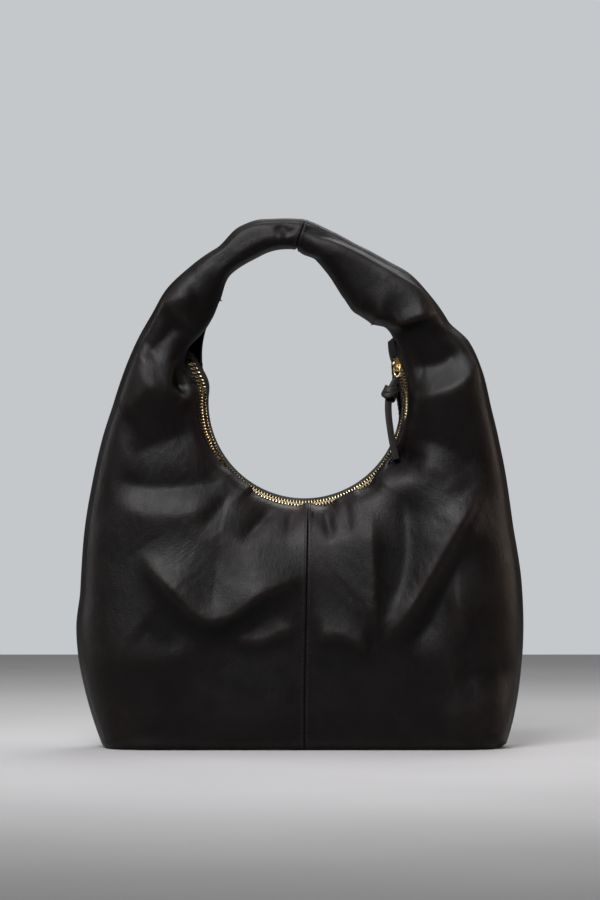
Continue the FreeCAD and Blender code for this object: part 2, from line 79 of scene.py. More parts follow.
POCKET_ROWS, POCKET_COLUMNS = 14, 33
POCKET_HEIGHTS, POCKET_HALF_WIDTHS = (60, 158), (128, 88)
SEAM_STEPS = (0.5, 0.5, 0.6, 0.7, 0.8, 1.0, 1.2, 1.5, 1.9, 2.4)
LEFT, RIGHT = -1, 1
FRONT, BACK = -1, 1

# Outline of the bag about the mouth's centre: height angle on one side, then the radius there.
OUTER = {
    LEFT: [(90, 165), (80, 168), (75, 170), (70, 169), (60, 160), (50, 160), (40, 161), (30, 159), (20, 161),
           (10, 165), (0, 172), (-10, 185), (-20, 203), (-30, 229), (-40, 264), (-44.4, 288), (-48.7, 308.5),
           (-52.7, 326.5), (-56, 342), (-58.2, 352.5), (-59.5, 358.8)],
    RIGHT: [(90, 165), (80, 156), (70, 149.5), (60, 148), (50, 150), (40, 149), (30, 149), (20, 158.5),
            (10, 163), (0, 167.5), (-10, 177.5), (-20, 193.5), (-30, 217), (-40, 256), (-50, 305), (-55, 333),
            (-58, 350), (-59.4, 357.5)],
}
BACK_EDGE = {
    LEFT: [(90, 138), (80, 139), (70, 136.5), (60, 133), (50, 119), (40, 113), (30, 106), (20, 98), (10, 91),
           (0, 87.5), (-20, 87.5), (-90, 87.5)],
    RIGHT: [(90, 138), (80, 118), (70, 101), (60, 92.5), (50, 93), (42, 100), (36, 99), (30, 91), (20, 84),
            (10, 82), (0, 84), (-12, 87), (-20, 87.5), (-90, 87.5)],
}
FRONT_EDGE = {
    LEFT: [(90, 138), (80, 139), (70, 136.5), (60, 133), (50, 119), (42, 112), (36, 110.5), (31, 112),
           (25, 113.5), (19, 112), (12, 102), (6, 97), (0, 95.6), (-18, 94.4), (-36, 92.8), (-44, 90),
           (-56, 89.6), (-61, 93), (-72, 93.4), (-84, 93), (-90, 89.8)],
    RIGHT: [(90, 138), (80, 118), (70, 101), (60, 92.5), (50, 93), (42, 100), (34, 98.5), (28, 97),
            (20, 95.5), (8, 93.6), (-6, 92.6), (-15, 90.4), (-24, 90.6), (-30, 92.2), (-36, 90), (-46, 91),
            (-52, 94.3), (-57, 92.5), (-62, 89.8), (-72, 90.4), (-78, 94), (-83, 93.4), (-90, 89.8)],
}
# The bag's half depth by height, how far its side rounds off, and the mouth edges' own depth.
HALF_DEPTH = [(0, 58.5), (40, 60.5), (80, 60.5), (125, 58), (180, 51), (220, 45), (290, 40), (350, 38),
              (400, 34), (440, 27), (478, 21)]
SIDE_REACH = [(0, 50), (60, 72), (120, 88), (200, 85), (280, 60), (340, 42), (400, 34), (478, 22)]
MOUTH_REACH = 72.0
EDGE_DEPTH = {FRONT: 7.0, BACK: 6.6}
# The arms turn into the handle between these two angles.
HANDLE_FROM, HANDLE_FULL = 38.0, 58.0
# How sharply the rounding from the side gives way to the rounding from the mouth.
BLEND_POWER = 3.5
# The front leather gives way a little where the thong's end rests on it.
THONG_REST = (84.0, 262.0)
THONG_REST_DEPTH, THONG_REST_REACH = 12.0, 16.0


def monotone(points):
    """A smooth curve through (position, value) points that never overshoots between them."""
    x, y = (np.array(column, float) for column in zip(*sorted(points)))
    step, slope = np.diff(x), np.diff(y) / np.diff(x)
    both = slope[:-1] * slope[1:]
    inner = np.where(both > 0, 2 * slope[:-1] * slope[1:] / (slope[:-1] + slope[1:] + 1e-12), 0)
    tangent = np.concatenate([[slope[0]], inner, [slope[-1]]])

    def value(at):
        at = np.clip(at, x[0], x[-1])
        i = np.clip(np.searchsorted(x, at) - 1, 0, len(x) - 2)
        t = (at - x[i]) / step[i]
        return (
            (1 + 2 * t) * (1 - t) ** 2 * y[i] + t * (1 - t) ** 2 * step[i] * tangent[i]
            + t * t * (3 - 2 * t) * y[i + 1] + t * t * (t - 1) * step[i] * tangent[i + 1]
        )
    return value


def ease(t):
    t = np.clip(t, 0, 1)
    return t * t * (3 - 2 * t)


outer = {side: monotone(points) for side, points in OUTER.items()}
edge = {
    FRONT: {side: monotone(points) for side, points in FRONT_EDGE.items()},
    BACK: {side: monotone(points) for side, points in BACK_EDGE.items()},
}
half_depth, side_reach = monotone(HALF_DEPTH), monotone(SIDE_REACH)


def outer_radius(side, angle):
    """Radius of the bag's outline, down to the line where it stands."""
    floor = (MOUTH_HEIGHT - BASE_SEAT) / np.maximum(np.sin(np.radians(-angle)), 1e-6)
    floor = np.where(angle < -45, floor, 1e9)
    return np.minimum(outer[side](angle), floor)


def polar(side, angle, radius):
    angle = np.radians(angle)
    return np.stack([side * radius * np.cos(angle), MOUTH_HEIGHT + radius * np.sin(angle)], -1)


def length_along(line):
    """Length travelled at each point of a line."""
    return np.concatenate([[0], np.cumsum(np.linalg.norm(np.diff(line, axis=0), axis=1))])


def row_lengths(grid):
    """Length travelled along each column of a grid at each of its rows."""
    step = np.linalg.norm(np.diff(grid, axis=1), axis=2)
    return np.concatenate([np.zeros((len(grid), 1)), np.cumsum(step, axis=1)], axis=1)


def at_length(at, length, line):
    """Points of the line at those lengths along it."""
    return np.stack([np.interp(at, length, line[:, k]) for k in range(3)], -1)


def bell(place, middle, width):
    """One at the middle, falling smoothly to nothing on both sides."""
    return np.exp(-(((place - middle) / width) ** 2))


def distance_to_line(points, line, chunk=4000):
    """Distance of each point to a polyline, the share of its length there, and its side, from -1 to 1."""
    start, step = line[:-1], np.diff(line, axis=0)
    length = np.linalg.norm(step, axis=1)
    before = np.concatenate([[0], np.cumsum(length)])
    results = []
    for i in range(0, len(points), chunk):
        p = points[i:i + chunk, None]
        t = np.clip(((p - start) * step).sum(-1) / (length**2 + 1e-12), 0, 1)
        away = p - start - t[..., None] * step
        d = np.hypot(away[..., 0], away[..., 1])
        k = d.argmin(1)
        r = np.arange(len(k))
        share = (before[k] + t[r, k] * length[k]) / before[-1]
        turn = (step[k, 0] * away[r, k, 1] - step[k, 1] * away[r, k, 0]) / (length[k] * d[r, k] + 1e-9)
        results.append(np.stack([d[r, k], share, turn], -1))
    return np.concatenate(results)


def round_line(points, count=8):
    """A smooth line through the points (Catmull-Rom)."""
    p = np.array(points, float)
    p = np.vstack([2 * p[0] - p[1], p, 2 * p[-1] - p[-2]])
    out = []
    for i in range(1, len(p) - 2):
        for t in np.arange(count) / count:
            out.append(0.5 * (
                2 * p[i] + (p[i + 1] - p[i - 1]) * t
                + (2 * p[i - 1] - 5 * p[i] + 4 * p[i + 1] - p[i + 2]) * t**2
                + (3 * p[i] - p[i - 1] - 3 * p[i + 1] + p[i + 2]) * t**3
            ))
    return np.array(out + [p[-2]])


# ---- the folds in the leather
# Each fold: its line on the panel (x, z), its height, then its width above or left of the line, and below it.
FRONT_FOLDS = [
    # the pouch that sags across the left half, with its steep underside
    ([(-146, 180), (-130, 156), (-110, 134), (-96, 120), (-80, 115), (-62, 122), (-40, 138), (-2, 158)],
     12, 34, 9),
    ([(-134, 128), (-104, 102), (-80, 95), (-52, 105), (-20, 130)], -3.2, 9, 30),
    # the crease under the left arm and the shelf below it
    ([(-172, 244), (-150, 237), (-128, 234), (-92, 238), (-58, 246)], -5.0, 18, 12),
    ([(-172, 226), (-150, 212), (-112, 208), (-72, 222)], 3.4, 16, 30),
    ([(-68, 104), (-44, 97), (-24, 104), (-6, 113)], 3.6, 12, 6),
    ([(-18, 246), (-28, 222), (-42, 202), (-60, 182)], -3.2, 5, 8),
    ([(-5, 246), (-10, 224), (-15, 206), (-17, 188)], -1.8, 4, 4),
    ([(-48, 262), (-60, 238), (-80, 212), (-96, 190)], -2.6, 7, 11),
    ([(-196, 90), (-160, 84), (-116, 86), (-70, 98)], 2.0, 28, 24),
    ([(-150, 112), (-130, 98), (-108, 92)], -1.5, 14, 14),
    # the gathers and the V under the right of the mouth
    ([(6, 248), (13, 224), (18, 204), (23, 184)], -3.0, 5, 4),
    ([(24, 248), (32, 226), (37, 206), (38, 188)], -2.0, 5, 5),
    ([(60, 216), (59, 180), (60, 150), (61, 120), (62, 96)], 5.5, 9, 24),
    ([(84, 246), (92, 206), (92, 168), (82, 134), (66, 106)], -6.0, 17, 13),
    ([(4, 100), (30, 102), (48, 96), (62, 93)], 5.0, 15, 7),
    ([(62, 93), (78, 106), (94, 126), (110, 152), (127, 182), (144, 212), (157, 240)], 11, 28, 9),
    ([(92, 90), (114, 120), (136, 160), (152, 196)], -5.0, 7, 14),
    ([(164, 228), (150, 192), (138, 158), (137, 126), (146, 92)], 4.5, 14, 8),
    ([(132, 62), (152, 67), (168, 69), (194, 73)], -3.0, 14, 18),
    ([(118, 32), (154, 38), (186, 43)], 1.5, 20, 20),
    # the right shoulder, where the arm folds over the body
    ([(92, 312), (118, 317), (138, 325), (150, 338), (156, 362)], 7.0, 12, 28),
    ([(84, 344), (104, 343), (124, 347), (144, 364)], -6.0, 20, 14),
    ([(86, 280), (112, 276), (136, 264), (158, 236)], -2.6, 14, 12),
    ([(98, 254), (124, 248), (142, 230)], 2.0, 14, 20),
    # the left shoulder and arm
    ([(-146, 350), (-128, 366), (-108, 386)], -6.0, 12, 15),
    ([(-152, 386), (-128, 400), (-96, 408)], 4.0, 18, 11),
    ([(-166, 300), (-146, 318), (-128, 330)], 3.5, 18, 14),
    ([(-160, 262), (-128, 276), (-94, 288)], -3.5, 17, 17),
    # the pleat that hooks round the zip's left end
    ([(-99, 318), (-104, 326), (-105, 338), (-102, 352), (-96, 366)], -15.0, 9, 8),
    ([(-101, 311), (-113, 317), (-120, 326), (-118, 338), (-110, 355), (-98, 374)], 5.0, 12, 2.6),
    # the handle
    ([(-2, 464), (22, 455), (45, 445), (70, 430), (94, 415), (117, 399), (136, 378)], 3.6, 2.6, 20),
    ([(8, 468), (48, 451), (76, 436), (103, 420), (128, 401), (144, 380)], -2.6, 7, 3),
    ([(50, 388), (66, 384), (84, 382), (104, 386), (122, 392)], 10.0, 17, 5),
    ([(-62, 426), (-38, 440), (-10, 452)], 4.0, 12, 3.5),
    ([(-54, 416), (-44, 423), (-36, 433)], -2.5, 5, 4),
    ([(-26, 470), (-14, 464), (-6, 460)], -1.4, 3, 3),
    ([(-24, 456), (-14, 455), (-7, 455)], 1.5, 3, 3),
    ([(2, 468), (14, 463), (26, 458)], -1.4, 2.5, 2.5),
]
BACK_FOLDS = [
    ([(-150, 190), (-120, 166), (-84, 148), (-40, 142), (-2, 150)], 4.5, 34, 20),
    ([(-124, 146), (-86, 122), (-44, 116)], -2.2, 16, 20),
    ([(2, 132), (48, 128), (92, 138), (132, 166), (156, 206)], 4.5, 36, 22),
    ([(44, 104), (92, 112), (130, 138)], -2.2, 16, 20),
    ([(-168, 236), (-130, 226), (-88, 232)], 4.5, 13, 9),
    ([(88, 226), (126, 222), (166, 238)], 4.5, 13, 9),
    ([(-70, 226), (-78, 196), (-76, 168)], -3.5, 8, 8),
    ([(64, 222), (70, 190), (66, 166)], -3.5, 8, 8),
    ([(-24, 222), (-30, 196)], -2.0, 5, 5),
    ([(28, 222), (34, 196)], -2.0, 5, 5),
    ([(-176, 84), (-130, 76), (-80, 82)], 4.0, 20, 14),
    ([(84, 64), (130, 70), (178, 62)], 4.0, 20, 14),
    ([(-154, 352), (-132, 330), (-104, 322)], 6.0, 9, 20),
    ([(-148, 366), (-124, 346), (-98, 340)], -5.0, 10, 8),
    ([(96, 314), (122, 322), (148, 344)], 6.0, 9, 20),
    ([(92, 336), (118, 342), (140, 362)], -5.0, 10, 8),
    ([(-140, 392), (-100, 418), (-50, 448), (-4, 462)], 3.5, 12, 6),
    ([(4, 462), (46, 446), (94, 416), (134, 380)], 3.5, 12, 6),
]
FOLDS = {FRONT: FRONT_FOLDS, BACK: BACK_FOLDS}
CREST = 2.2
FOLD_REACH = 4.0


def waves(points, size, seed, count=14):
    """Smooth random undulation of about that wavelength, from -1 to 1."""
    rng = np.random.default_rng(seed)
    total = np.zeros(len(points))
    for _ in range(count):
        turn, phase, scale = rng.uniform(0, 2 * math.pi), rng.uniform(0, 2 * math.pi), rng.uniform(0.75, 1.3)
        direction = np.array([math.cos(turn), math.sin(turn)]) * 2 * math.pi / (size * scale)
        total += np.sin(points @ direction + phase)
    return total / math.sqrt(count)


def fold_height(points, face):
    """How far the leather stands out at each point (x, z) of a face because of its folds."""
    total = np.zeros(len(points))
    for line, height, above, below in FOLDS[face]:
        line = round_line(line, 6)
        margin = FOLD_REACH * max(above, below)
        near = ((points > line.min(0) - margin) & (points < line.max(0) + margin)).all(1)
        if not near.any():
            continue
        d, share, turn = distance_to_line(points[near], line).T
        width = below + (above - below) * ease(0.5 + 0.5 * turn)
        crest = min(CREST, above, below)
        fall = np.exp(-((np.sqrt(d * d + crest * crest) - crest) / width) ** 1.25)
        total[near] += height * fall * ease(0.1 + share / 0.3) * ease(0.1 + (1 - share) / 0.3)
    busy = 0.25 + 0.75 * np.clip(np.abs(total) / 6, 0, 1)
    total += 0.8 * waves(points, 110, 3 + face) + 0.22 * waves(points, 34, 11 + face) * busy
    total += 0.05 * waves(points, 11, 23 + face) * busy
    return total


# ---- the leather shell
LINE_ANGLES = np.linspace(90, -90, 109)


def column_angles(side):
    """Angles whose columns meet the outline at even steps."""
    fine = np.linspace(90, -90, 2881)
    line = polar(side, fine, outer_radius(side, fine))
    length = length_along(line)
    turn = (90 - fine) / 180 * length[-1]
    blend = 0.7 * length + 0.3 * turn
    close = np.cumsum(SEAM_STEPS)
    middle = np.linspace(close[-1], blend[-1] - close[-1], PANEL_COLUMNS)
    at = np.concatenate([[0], close[:-1], middle, blend[-1] - close[:-1][::-1], [blend[-1]]])
    return np.interp(at, blend, fine)


side_lines = {}
for side in (LEFT, RIGHT):
    keep = column_angles(side)
    keep = keep[outer[side](keep) * np.sin(np.radians(-keep)) < MOUTH_HEIGHT - BASE_SEAT]
    side_lines[side] = polar(side, keep, outer[side](keep))
    foot = side_lines[side][-1] * [1, 0] + [0, BASE_SEAT]
    side_lines[side] = np.vstack([side_lines[side], foot, foot - [0, 30]])
outline_line = np.vstack([side_lines[LEFT][::-1], side_lines[RIGHT]])
edge_lines = {
    face: np.vstack([
        polar(LEFT, LINE_ANGLES, edge[face][LEFT](LINE_ANGLES))[::-1],
        polar(RIGHT, LINE_ANGLES, edge[face][RIGHT](LINE_ANGLES)),
    ])
    for face in (FRONT, BACK)
}


def rounded(share, power=SIDE_ROUNDNESS):
    return (1 - (1 - np.clip(share, 0, 1)) ** power) ** (1 / power)


def plump(points, face, angle, width):
    """Half depth of the smooth bag, without folds, at points (x, z), and the distance to its outline."""
    to_side = distance_to_line(points, outline_line)[:, 0]
    to_edge = distance_to_line(points, edge_lines[face])[:, 0]
    depth = half_depth(points[:, 1])
    handle = ease((angle - HANDLE_FROM) / (HANDLE_FULL - HANDLE_FROM))
    edge_depth = EDGE_DEPTH[face] * (1 - handle)
    side_share = to_side / np.minimum(side_reach(points[:, 1]), width * (1 - 0.5 * handle))
    edge_share = to_edge / (MOUTH_REACH * (1 - handle) + 0.5 * width * handle)
    from_side = depth * rounded(side_share, SIDE_ROUNDNESS + 0.9 * handle) + 1e-6
    from_edge = edge_depth + (depth - edge_depth) * rounded(edge_share) + 1e-6
    both = (from_side**-BLEND_POWER + from_edge**-BLEND_POWER) ** (-1 / BLEND_POWER)
    if face == FRONT:
        aside = np.linalg.norm(points - THONG_REST, axis=1)
        both -= THONG_REST_DEPTH * bell(aside, 0, THONG_REST_REACH) * ease(to_edge / 6)
    low = np.clip(points[:, 1] - BASE_SEAT, 0, BASE_ROUND) / BASE_ROUND
    both = np.maximum(both - BASE_ROUND * (1 - np.sqrt(1 - (1 - low) ** 2)), 0)
    return both, to_side, to_edge


def grid_normals(grid):
    across = np.gradient(grid, axis=0)
    along = np.gradient(grid, axis=1)
    normal = np.cross(across, along)
    return normal / (np.linalg.norm(normal, axis=-1, keepdims=True) + 1e-12)


def seam_shift(points):
    """The middle seams wander a little: across at the handle's top and down the body."""
    x, z = points[:, 0], points[:, 1]
    body = 3.0 * ease((z - 20) / 200) * ease((260 - z) / 20) * bell(x, 0, 42)
    top = -7.0 * ease((476 - z) / 26) * ease((z - 440) / 5) * bell(x, 0, 26)
    return body + top


def panel_grid(side, face):
    """The panel's outer surface as a grid (columns along the outline, rows from the mouth outwards)."""
    angle = column_angles(side)
    near, far = edge[face][side](angle), outer_radius(side, angle)
    fine = 0.5 - 0.5 * np.cos(np.linspace(0, math.pi, 56))

    def smooth(share):
        radius = near[:, None] + (far - near)[:, None] * share
        flat = polar(side, np.repeat(angle, share.shape[1]), radius.ravel())
        width = np.repeat(far - near, share.shape[1])
        depth, to_side, to_edge = plump(flat, face, np.repeat(angle, share.shape[1]), width)
        return flat, depth, to_side, to_edge

    flat, depth, _, _ = smooth(np.tile(fine, (len(angle), 1)))
    line = np.dstack([flat.reshape(len(angle), -1, 2), depth.reshape(len(angle), -1)])
    share = np.stack([
        np.interp(np.linspace(0, row[-1], PANEL_ROWS), row, fine) for row in row_lengths(line)
    ])
    # Neighbouring columns share their rows' places, so that no column stands out.
    wide = np.pad(share, ((ROW_SMOOTHING, ROW_SMOOTHING), (0, 0)), mode="edge")
    share = np.mean([wide[i:i + len(angle)] for i in range(2 * ROW_SMOOTHING + 1)], axis=0)
    flat, depth, to_side, to_edge = smooth(share)
    grid = np.stack([flat[:, 0], face * depth, flat[:, 1]], -1).reshape(len(angle), PANEL_ROWS, 3)
    normal = grid_normals(grid)
    normal *= np.sign((normal * [0, face, 0]).sum(-1).mean())
    out = fold_height(flat, face)
    # Folds fade towards the side seam, the foot and the mouth, where the body's edge still moves a little.
    loose = 0.15 * (1 - ease((np.repeat(angle, PANEL_ROWS) - HANDLE_FROM) / (HANDLE_FULL - HANDLE_FROM)))
    out *= ease(to_side / 9) * (loose + (1 - loose) * ease(to_edge / 14)) * ease((flat[:, 1] - 2) / 14)
    # The middle seam is a narrow groove between two low beads, and the side seam a wider groove.
    seam = np.abs(flat[:, 0])
    out -= 0.8 * bell(seam, 0, 0.5) - 0.12 * bell(seam, 2.4, 1.8)
    out -= 0.6 * bell(to_side, 2.8, 1.6) * ease((flat[:, 1] - 6) / 6)
    out *= ease(to_side / 2.5)
    grid = grid + normal * out.reshape(len(angle), PANEL_ROWS, 1)
    grid[..., 0] += seam_shift(flat).reshape(len(angle), PANEL_ROWS)
    grid[..., 1] = face * np.maximum(face * grid[..., 1], 0)
    grid[..., 2] = np.maximum(grid[..., 2], BASE_SEAT)
    return grid


def outward_normals(grid, face):
    normal = grid_normals(grid)
    return normal * np.sign((normal[..., 1] * face).mean())


def make_mesh(name, points, faces, material, body="bag", smooth=True):
    """A mesh piece from points in millimetres, riding on a CAD body."""
    mesh = bpy.data.meshes.new(name)
    mesh.from_pydata([tuple(p) for p in np.asarray(points, float) * METRES], [], faces)
    mesh.validate()
    mesh.update()
    mesh.materials.append(material)
    mesh.polygons.foreach_set("use_smooth", np.full(len(mesh.polygons), smooth))
    piece = bpy.data.objects.new(name, mesh)
    bpy.context.scene.collection.objects.link(piece)
    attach(piece, body)
    return piece


def grid_faces(columns, rows, flip=False):
    faces = []
    for i in range(columns - 1):
        for j in range(i * rows, (i + 1) * rows - 1):
            quad = (j, j + rows, j + rows + 1, j + 1)
            faces.append(quad[::-1] if flip else quad)
    return faces


def tube_faces(rings, count, first=0, wrap=False):
    """Faces round a tube whose rings have that many points; wrap joins the last ring to the first."""
    faces = []
    for i in range(rings if wrap else rings - 1):
        here, there = first + i * count, first + (i + 1) % rings * count
        for j in range(count):
            k = (j + 1) % count
            faces.append((here + j, here + k, there + k, there + j))
    return faces


def end_caps(rings, count, first=0):
    """The two faces that close such a tube."""
    last = first + (rings - 1) * count
    return [tuple(first + j for j in reversed(range(count))), tuple(last + j for j in range(count))]


def thicken(piece, thickness):
    """Give a sheet its thickness, on one side of its points."""
    modifier = piece.modifiers.new("thickness", "SOLIDIFY")
    modifier.thickness = thickness * METRES
    modifier.offset = -1


def set_worn(piece, values):
    """Tell the leather's material how worn each point is."""
    attribute = piece.data.attributes.new("worn", "FLOAT", "POINT")
    attribute.data.foreach_set("value", np.asarray(values, np.float32).ravel())


def crest_offset(grid):
    """How far each point stands off the average of its surroundings."""
    mean = grid.copy()
    for _ in range(6):
        mean[1:-1, 1:-1] = (mean[:-2, 1:-1] + mean[2:, 1:-1] + mean[1:-1, :-2] + mean[1:-1, 2:]) / 4
    return grid - mean


def hem_rows(grid, face):
    """The leather turned over at the mouth: rows from the hidden end of the turned part up to the edge."""
    normal = outward_normals(grid, face)
    length = row_lengths(grid)
    rows = []
    for back in np.linspace(HEM_WIDTH, 1.0, 5):
        inner = np.stack([at_length(back, length[i], grid[i]) for i in range(len(grid))])
        rows.append(inner - HEM_DEPTH * normal[:, 2])
    first = grid[:, 0]
    outwards = grid[:, 0] - grid[:, 2]
    outwards /= np.linalg.norm(outwards, axis=1, keepdims=True) + 1e-9
    middle = first - 0.5 * HEM_DEPTH * normal[:, 2]
    for turn in np.linspace(-90, 90, HEM_ROLL_STEPS + 2)[:-1]:
        angle = math.radians(turn)
        reach = 0.5 * HEM_DEPTH * (math.cos(angle) * outwards + math.sin(angle) * normal[:, 2])
        rows.append(middle + reach)
    return np.stack(rows, 1)


# ---- materials
def new_material(name, color, roughness, metallic=0.0, specular=0.5):
    material = bpy.data.materials.new(name)
    material.use_nodes = True
    nodes = material.node_tree.nodes
    shader = nodes["Principled BSDF"]
    shader.inputs["Base Color"].default_value = (*color, 1)
    shader.inputs["Roughness"].default_value = roughness
    shader.inputs["Metallic"].default_value = metallic
    shader.inputs["Specular IOR Level"].default_value = specular
    return material, nodes, material.node_tree.links, shader


def object_place(nodes, links, scale=(1, 1, 1)):
    """The piece's own coordinates, in metres, stretched by scale."""
    place = nodes.new("ShaderNodeTexCoord")
    stretch = nodes.new("ShaderNodeMapping")
    stretch.inputs["Scale"].default_value = scale
    links.new(place.outputs["Object"], stretch.inputs["Vector"])
    return stretch.outputs["Vector"]


def noise_of(nodes, links, place, scale, detail=3.0, rough=0.55):
    node = nodes.new("ShaderNodeTexNoise")
    node.inputs["Scale"].default_value = scale
    node.inputs["Detail"].default_value = detail
    node.inputs["Roughness"].default_value = rough
    links.new(place, node.inputs["Vector"])
    return node.outputs["Fac"]


def cells_of(nodes, links, place, scale):
    node = nodes.new("ShaderNodeTexVoronoi")
    node.feature = "SMOOTH_F1"
    node.inputs["Scale"].default_value = scale
    links.new(place, node.inputs["Vector"])
    return node.outputs["Distance"]


def spread(nodes, links, value, low, high, to_low, to_high):
    node = nodes.new("ShaderNodeMapRange")
    for name, number in (("From Min", low), ("From Max", high), ("To Min", to_low), ("To Max", to_high)):
        node.inputs[name].default_value = number
    links.new(value, node.inputs["Value"])
    return node.outputs["Result"]


def blend_colors(nodes, links, share, one, other):
    node = nodes.new("ShaderNodeMix")
    node.data_type = "RGBA"
    links.new(share, node.inputs["Factor"])
    for socket, color in ((node.inputs[6], one), (node.inputs[7], other)):
        if isinstance(color, tuple):
            socket.default_value = (*color, 1)
        else:
            links.new(color, socket)
    return node.outputs[2]


def bump_of(nodes, links, height, distance, strength, before=None):
    node = nodes.new("ShaderNodeBump")
    node.inputs["Strength"].default_value = strength
    node.inputs["Distance"].default_value = distance
    links.new(height, node.inputs["Height"])
    if before is not None:
        links.new(before, node.inputs["Normal"])
    return node.outputs["Normal"]


def leather_material(name, dark, pale, worn, roughness=(0.42, 0.54), grain=1.0):
    """Smooth black cowhide: fine pebbled grain, a few long wrinkles, paler worn crests."""
    material, nodes, links, shader = new_material(name, dark, roughness[0], specular=0.13)
    place = object_place(nodes, links)
    mottle = noise_of(nodes, links, place, 22, 4)
    patches = blend_colors(nodes, links, spread(nodes, links, mottle, 0.35, 0.7, 0, 1), dark, pale)
    crest = nodes.new("ShaderNodeAttribute")
    crest.attribute_name = "worn"
    scuffs = noise_of(nodes, links, place, 160, 5, 0.7)
    wear = nodes.new("ShaderNodeMath")
    wear.operation = "MULTIPLY"
    links.new(crest.outputs["Fac"], wear.inputs[0])
    links.new(spread(nodes, links, scuffs, 0.3, 0.7, 0.25, 1.0), wear.inputs[1])
    links.new(blend_colors(nodes, links, wear.outputs[0], patches, worn), shader.inputs["Base Color"])
    smudge = noise_of(nodes, links, place, 45, 5, 0.6)
    links.new(spread(nodes, links, smudge, 0.3, 0.72, *roughness), shader.inputs["Roughness"])
    pebble = cells_of(nodes, links, place, 1500)
    wrinkle_place = object_place(nodes, links, (1.0, 1.0, 0.45))
    wrinkle = noise_of(nodes, links, wrinkle_place, 190, 6, 0.62)
    hide = noise_of(nodes, links, place, 620, 4, 0.6)
    normal = bump_of(nodes, links, wrinkle, 0.0011 * grain, 0.35)
    normal = bump_of(nodes, links, hide, 0.00035 * grain, 0.4, normal)
    normal = bump_of(nodes, links, pebble, 0.00022 * grain, 0.45, normal)
    links.new(normal, shader.inputs["Normal"])
    return material


def woven_material(name, dark, pale, pitch, roughness=0.75, sheen=0.15):
    """A close plain weave: two crossed sets of threads of that pitch in millimetres."""
    material, nodes, links, shader = new_material(name, dark, roughness, specular=0.1)
    shader.inputs["Sheen Weight"].default_value = sheen
    place = object_place(nodes, links)
    threads = []
    for direction in ("X", "Z"):
        wave = nodes.new("ShaderNodeTexWave")
        wave.bands_direction = direction
        wave.inputs["Scale"].default_value = 1 / (pitch * METRES) / (2 * math.pi) * 2
        wave.inputs["Distortion"].default_value = 0.6
        wave.inputs["Detail Scale"].default_value = 3
        links.new(place, wave.inputs["Vector"])
        threads.append(wave.outputs["Fac"])
    weave = nodes.new("ShaderNodeMath")
    weave.operation = "MAXIMUM"
    for i, thread in enumerate(threads):
        links.new(thread, weave.inputs[i])
    fuzz = noise_of(nodes, links, place, 900, 3)
    tone = blend_colors(nodes, links, weave.outputs[0], dark, pale)
    dust = spread(nodes, links, fuzz, 0.3, 0.7, 0, 0.35)
    links.new(blend_colors(nodes, links, dust, tone, dark), shader.inputs["Base Color"])
    links.new(bump_of(nodes, links, weave.outputs[0], 0.0004, 0.7), shader.inputs["Normal"])
    return material


def metal_material(name, color, shade, roughness):
    """Polished plated brass with fine scratches, random darker patches and duller streaks."""
    material, nodes, links, shader = new_material(name, color, roughness[0], metallic=1.0)
    place = object_place(nodes, links)
    tarnish = noise_of(nodes, links, place, 260, 4, 0.6)
    links.new(
        blend_colors(nodes, links, spread(nodes, links, tarnish, 0.42, 0.75, 0, 1), color, shade),
        shader.inputs["Base Color"],
    )
    rub = noise_of(nodes, links, object_place(nodes, links, (1, 1, 6)), 700, 4, 0.7)
    links.new(spread(nodes, links, rub, 0.3, 0.7, *roughness), shader.inputs["Roughness"])
    links.new(bump_of(nodes, links, rub, 0.00005, 0.4), shader.inputs["Normal"])
    return material


LEATHER = leather_material(
    "black_leather", (0.0009, 0.0005, 0.0003), (0.0014, 0.0008, 0.0006), (0.005, 0.0032, 0.0026),
)
FACING = leather_material(
    "facing_leather", (0.0016, 0.0012, 0.001), (0.0026, 0.002, 0.0017), (0.006, 0.0045, 0.004),
    (0.55, 0.66), 0.8,
)
THONG = leather_material(
    "thong_leather", (0.003, 0.0025, 0.0022), (0.005, 0.0042, 0.0038), (0.018, 0.015, 0.013),
    (0.46, 0.58), 0.6,
)
LINING = woven_material("lining_twill", (0.010, 0.0095, 0.009), (0.018, 0.017, 0.016), 0.5, 0.8, 0.05)
TAPE = woven_material("zip_tape", (0.0025, 0.0025, 0.0025), (0.008, 0.0078, 0.0075), 0.7, 0.85, 0.03)
WEBBING = woven_material("webbing", (0.018, 0.018, 0.018), (0.045, 0.043, 0.040), 1.4)
BOARD = woven_material("base_board", (0.05, 0.045, 0.04), (0.075, 0.068, 0.06), 0.9, 0.85, 0.0)
THREAD = woven_material("thread", (0.003, 0.0026, 0.0024), (0.010, 0.009, 0.008), 0.35, 0.6, 0.05)
GOLD = metal_material("pale_gold", (0.96, 0.79, 0.46), (0.72, 0.54, 0.27), (0.13, 0.28))


# ---- panels, hems, facings and lining
SIDE_NAMES = {LEFT: "left", RIGHT: "right"}
FACE_NAMES = {FRONT: "front", BACK: "back"}
grids = {}


def build_panel(side, face):
    grid = panel_grid(side, face)
    grids[side, face] = grid
    rows = np.concatenate([hem_rows(grid, face), grid], axis=1)
    name = f"{FACE_NAMES[face]}_{SIDE_NAMES[side]}_panel"
    flip = side * face > 0
    faces = grid_faces(rows.shape[0], rows.shape[1], flip)
    piece = make_mesh(name + "_leather", rows.reshape(-1, 3), faces, LEATHER)
    # Worn leather is a little paler on its crests and along the mouth's edge.
    normal = outward_normals(rows, face)
    raised = (crest_offset(rows) * normal).sum(-1)
    worn = np.clip(raised / 0.25, 0, 1)
    hem = rows.shape[1] - grid.shape[1]
    worn[:, hem - 3:hem + 1] = 0.55
    set_worn(piece, worn)
    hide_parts(name)


STRIP_ROWS = 14
SHORTEST_COLUMN = 135
STRIP_END_GAP = 26


